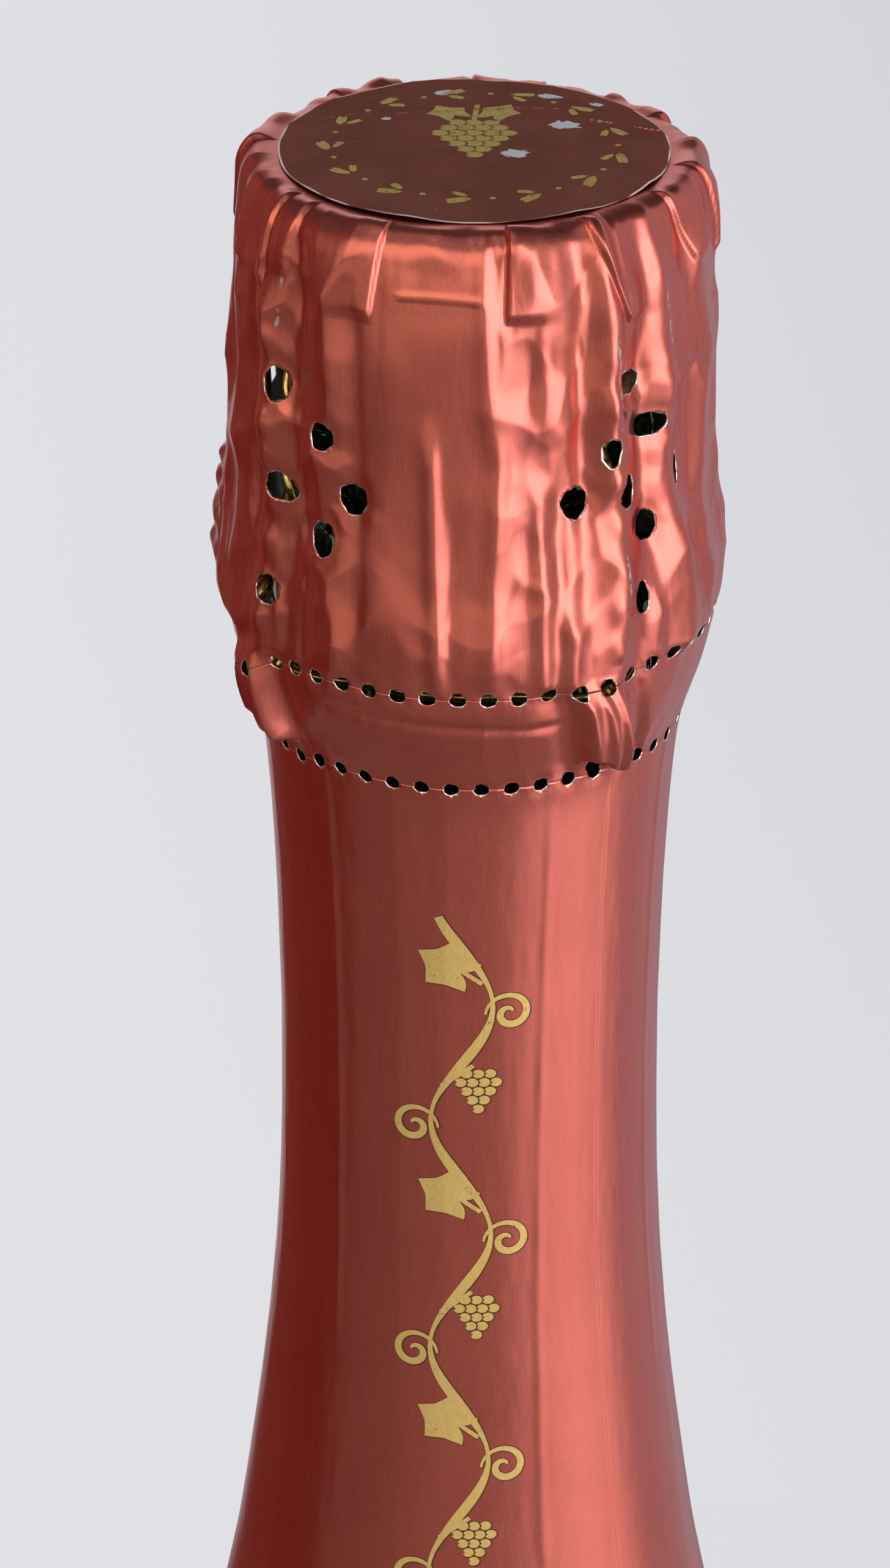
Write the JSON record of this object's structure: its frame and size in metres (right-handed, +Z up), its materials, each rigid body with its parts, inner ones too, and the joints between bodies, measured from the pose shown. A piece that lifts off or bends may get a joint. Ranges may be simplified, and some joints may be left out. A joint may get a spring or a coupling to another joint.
{
  "type": "champagne bottle",
  "caption": "Corked sparkling-wine bottle with punted foot, wire cage with twist key, cork and torn-edge foil capsule in separate pieces.",
  "frame": {"origin": "centre of the foot, on the surface that the bottle stands on", "axes": "+Z up along the bottle's axis; -Y towards the picture's camera, +X to the picture's right"},
  "size_m": [0.094, 0.094, 0.3197],
  "materials": {
    "green_glass": "dark green bottle glass, glossy",
    "copper_foil": "satin rose-copper lacquered foil",
    "maroon_disc": "satin dark maroon lacquered foil",
    "brass_wire": "brass-coloured drawn wire",
    "tinned_steel": "tinned pressed sheet",
    "agglomerate_cork": "agglomerated cork granules",
    "natural_cork": "natural cork with lenticels"
  },
  "bodies": {
    "bottle": {"glass_bottle": "green_glass", "neck_foil": "copper_foil", "tear_band": "copper_foil"},
    "cork": {"cork_body": "agglomerate_cork", "cork_disc_upper": "natural_cork", "cork_disc_lower": "natural_cork"},
    "cage": {"cap_plaque": "tinned_steel", "cage_wire_1": "brass_wire", "cage_wire_2": "brass_wire", "cage_wire_3": "brass_wire", "cage_wire_4": "brass_wire", "belt_wire": "brass_wire"},
    "hood": {"foil_hood": "copper_foil", "top_disc": "maroon_disc"},
    "key": {"twist_key": "brass_wire", "key_foil_flap": "copper_foil"}
  },
  "joints": [
    {"name": "cork_pull", "type": "slide", "parent": "bottle", "child": "cork", "axis": [0, 0, 1], "range_m": [0, 0.045]},
    {"name": "cage_lift", "type": "slide", "parent": "cork", "child": "cage", "axis": [0, 0, 1], "range_m": [0, 0.045], "deforming": ["belt_wire"]},
    {"name": "hood_lift", "type": "slide", "parent": "cage", "child": "hood", "axis": [0, 0, 1], "range_m": [0, 0.045]},
    {"name": "key_fold", "type": "hinge", "parent": "cage", "child": "key", "pos_m": [-0.01698, 0.00299, 0.27995], "axis": [-0.1736, -0.9848, 0], "range_deg": [0, 90]}
  ]
}
